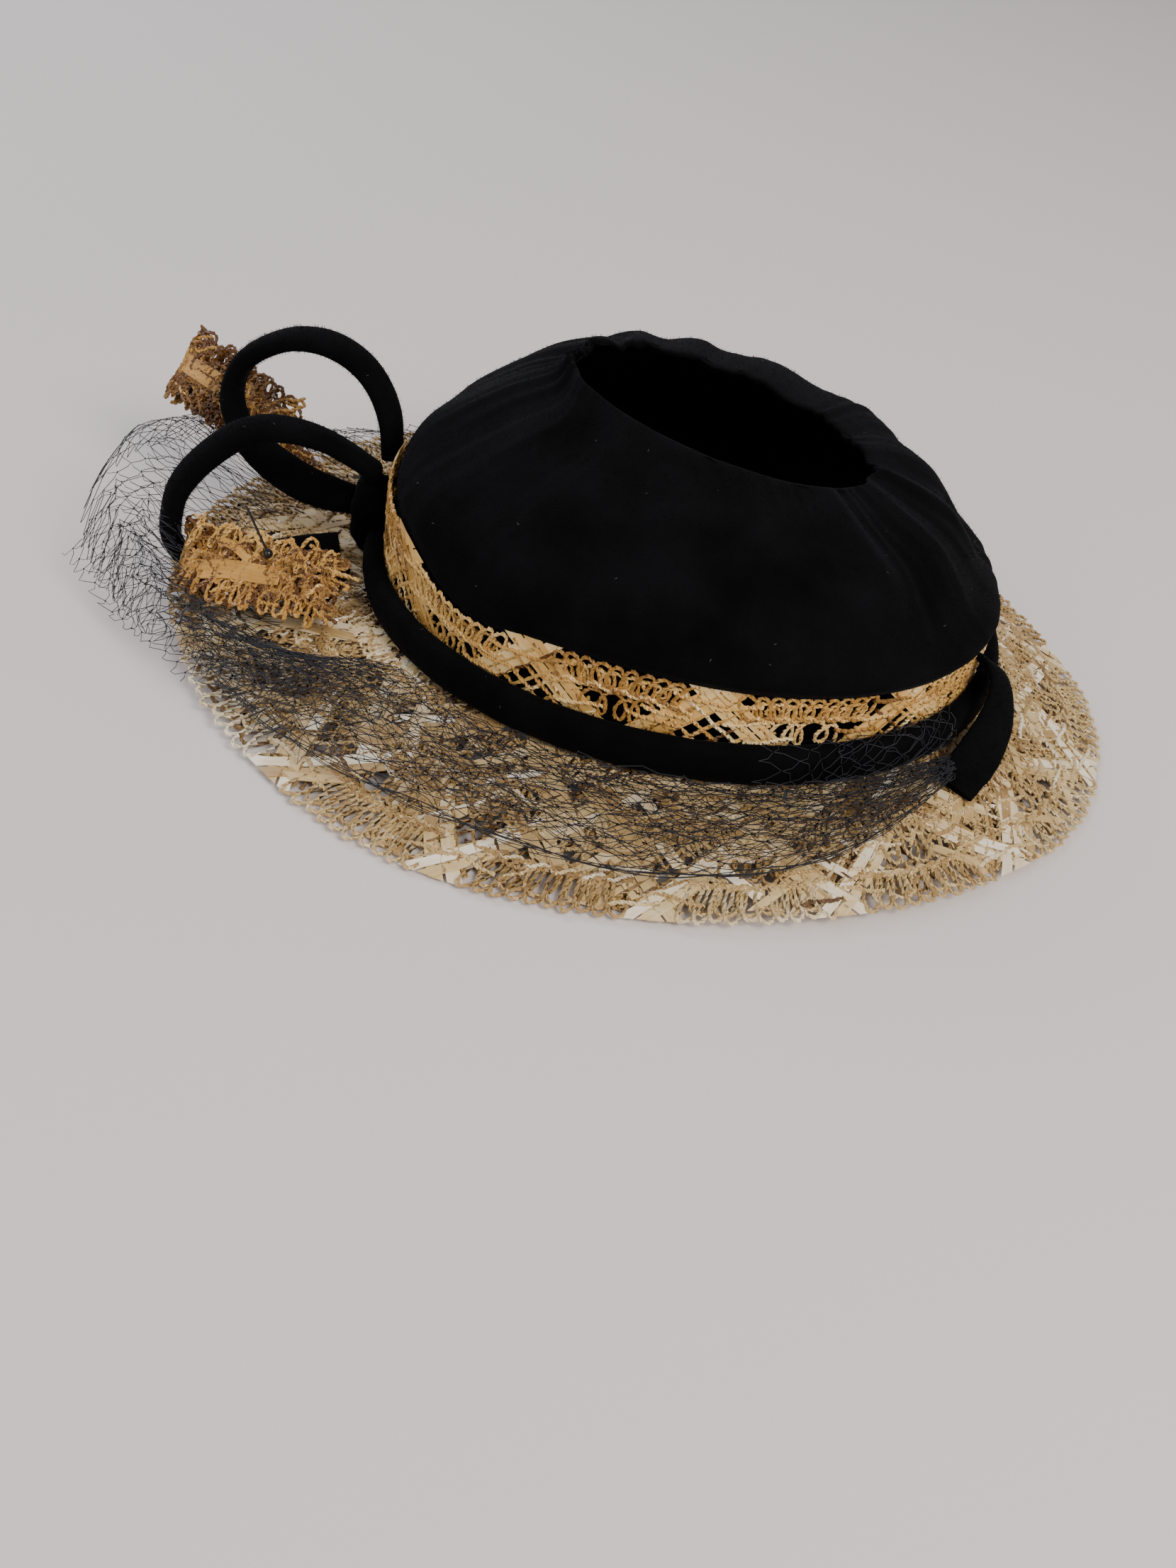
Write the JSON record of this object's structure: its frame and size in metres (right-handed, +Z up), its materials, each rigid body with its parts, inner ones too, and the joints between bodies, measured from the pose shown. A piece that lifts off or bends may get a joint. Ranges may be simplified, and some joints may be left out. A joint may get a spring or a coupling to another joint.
{
  "type": "wide-brimmed straw hat",
  "caption": "Wide-brimmed hat of openwork straw lace braid with an open gathered black velvet crown, velvet loops, straw tabs and a coarse black net",
  "frame": {"origin": "the middle of the hat's box, on the surface that the brim rests on", "axes": "+X towards the back of the hat, -Y its netted near side, +Z up along the crown's axis"},
  "size_m": [0.3581, 0.2964, 0.0983],
  "materials": {
    "straw_braid": "pale golden plaited straw, slightly glossy",
    "black_velvet": "black cotton velvet, matt with a soft sheen at grazing angles",
    "black_net": "black coarse knotted net, matt",
    "black_pin": "glossy black pin head on a dark pin"
  },
  "bodies": {
    "root": {"straw_brim": "straw_braid", "straw_side_band": "straw_braid", "velvet_crown": "black_velvet", "velvet_band": "black_velvet", "trim_knot": "black_velvet", "velvet_loop_near": "black_velvet", "velvet_loop_far": "black_velvet", "velvet_tail": "black_velvet", "straw_tab_near": "straw_braid", "straw_tab_far": "straw_braid", "back_strap": "black_velvet", "veil": "black_net", "trim_pin": "black_pin"}
  },
  "joints": []
}
